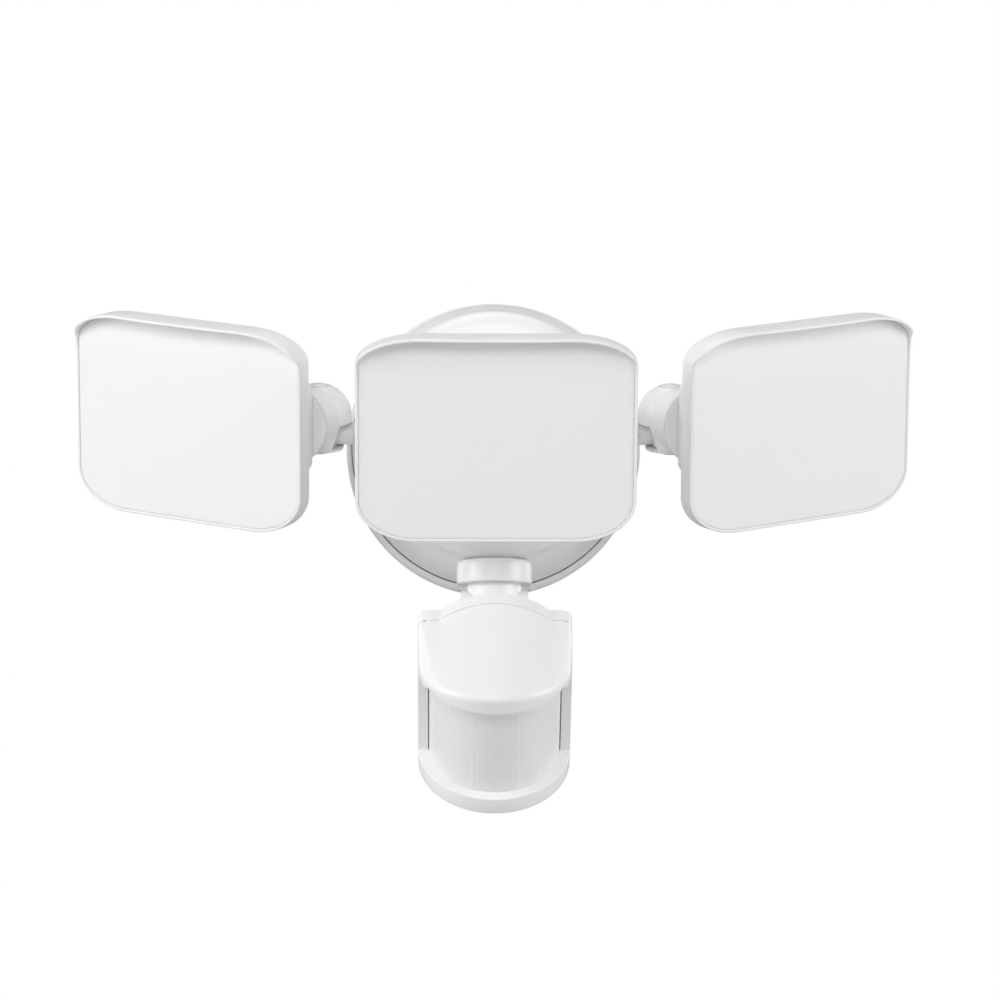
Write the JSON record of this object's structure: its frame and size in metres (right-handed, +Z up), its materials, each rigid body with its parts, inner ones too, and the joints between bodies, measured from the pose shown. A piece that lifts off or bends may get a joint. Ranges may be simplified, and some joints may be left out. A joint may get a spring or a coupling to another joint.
{
  "type": "motion sensor floodlight",
  "caption": "Wall-mounted motion-sensing floodlight: round canopy, hooded lamp heads on turning knuckles, and a swivelling sensor below.",
  "frame": {"origin": "centre of the canopy's back, on the wall, midway between the two box screw holes", "axes": "+X across the lamp heads, +Z up, +Y into the wall, so the light looks along -Y"},
  "size_m": [0.3716, 0.1288, 0.2303],
  "materials": {
    "base_shell": "satin white moulded base",
    "rubber": "dull moulded rubber",
    "shell": "satin white moulded housing",
    "steel": "zinc plated steel",
    "board": "green solder mask on glass fibre",
    "winding": "enamelled copper winding",
    "dark_parts": "black moulded plastic",
    "terminal": "ivory moulded plastic",
    "lamp_board": "white solder mask on aluminium",
    "lamps": "yellow phosphor",
    "diffuser": "milky frosted diffuser",
    "lens": "milky ribbed lens",
    "sensor_can": "drawn steel can",
    "photocell": "red and tan ceramic face",
    "grey_parts": "grey moulded plastic"
  },
  "bodies": {
    "canopy": {"mount_base": "base_shell", "wall_gasket": "rubber", "canopy_cover": "shell", "cover_screws": "steel", "driver_board": "board", "transformer": "winding", "capacitors": "dark_parts", "relay": "dark_parts", "terminal_block": "terminal"},
    "left_arm": {"left_arm": "shell", "left_arm_nut": "steel"},
    "left_head": {"left_knuckle": "shell", "left_hinge_screw": "steel", "left_hinge_nut": "steel", "left_housing": "shell", "left_led_board": "lamp_board", "left_leds": "lamps", "left_diffuser": "diffuser", "left_seal": "rubber", "left_screws": "steel"},
    "centre_arm": {"centre_arm": "shell", "centre_arm_nut": "steel"},
    "centre_head": {"centre_knuckle": "shell", "centre_hinge_screw": "steel", "centre_hinge_nut": "steel", "centre_housing": "shell", "centre_led_board": "lamp_board", "centre_leds": "lamps", "centre_diffuser": "diffuser", "centre_seal": "rubber", "centre_screws": "steel"},
    "right_arm": {"right_arm": "shell", "right_arm_nut": "steel"},
    "right_head": {"right_knuckle": "shell", "right_hinge_screw": "steel", "right_hinge_nut": "steel", "right_housing": "shell", "right_led_board": "lamp_board", "right_leds": "lamps", "right_diffuser": "diffuser", "right_seal": "rubber", "right_screws": "steel"},
    "sensor_swivel": {"sensor_swivel": "shell", "swivel_nut": "steel", "tilt_screw": "steel", "tilt_nut": "steel"},
    "sensor": {"sensor_rear": "shell", "sensor_cover": "shell", "fresnel_lens": "lens", "sensor_board": "board", "pir_element": "sensor_can", "photocell": "photocell", "sensor_screws": "steel"},
    "time_dial": {"time_dial": "grey_parts"},
    "range_dial": {"range_dial": "grey_parts"},
    "mode_switch": {"mode_switch": "grey_parts"}
  },
  "joints": [
    {"name": "left_arm_swivel", "type": "hinge", "parent": "canopy", "child": "left_arm", "pos_m": [-0.0765, -0.0515, 0.0005], "axis": [1, 0, 0], "range_deg": [-20.6, 24]},
    {"name": "left_knuckle_turn", "type": "hinge", "parent": "left_arm", "child": "left_head", "pos_m": [-0.0765, -0.0515, 0.0005], "axis": [0, -0.3518, 0.9361], "range_deg": [-6, 26]},
    {"name": "centre_arm_swivel", "type": "hinge", "parent": "canopy", "child": "centre_arm", "pos_m": [0, -0.0775, 0.0005], "axis": [0, -1, 0], "range_deg": [-10, 10]},
    {"name": "centre_knuckle_tilt", "type": "hinge", "parent": "centre_arm", "child": "centre_head", "pos_m": [0, -0.0775, 0.0005], "axis": [1, 0, 0], "range_deg": [-20.6, 15]},
    {"name": "right_arm_swivel", "type": "hinge", "parent": "canopy", "child": "right_arm", "pos_m": [0.0765, -0.0515, 0.0005], "axis": [1, 0, 0], "range_deg": [-20.6, 24]},
    {"name": "right_knuckle_turn", "type": "hinge", "parent": "right_arm", "child": "right_head", "pos_m": [0.0765, -0.0515, 0.0005], "axis": [0, 0.3518, -0.9361], "range_deg": [-6, 26]},
    {"name": "sensor_pan", "type": "hinge", "parent": "canopy", "child": "sensor_swivel", "pos_m": [0, -0.0435, -0.06], "axis": [0, 0, 1], "range_deg": [-60, 60]},
    {"name": "sensor_tilt", "type": "hinge", "parent": "sensor_swivel", "child": "sensor", "pos_m": [0, -0.0435, -0.0776], "axis": [1, 0, 0], "range_deg": [-30, 3]},
    {"name": "time_dial_turn", "type": "hinge", "parent": "sensor", "child": "time_dial", "pos_m": [-0.014, -0.03156, -0.14292], "axis": [0, -0.7361, 0.6769], "range_deg": [0, 270]},
    {"name": "range_dial_turn", "type": "hinge", "parent": "sensor", "child": "range_dial", "pos_m": [0.014, -0.03156, -0.14292], "axis": [0, -0.7361, 0.6769], "range_deg": [0, 270]},
    {"name": "mode_switch_slide", "type": "slide", "parent": "sensor", "child": "mode_switch", "axis": [1, 0, 0], "range_m": [-0.003, 0.003]}
  ]
}
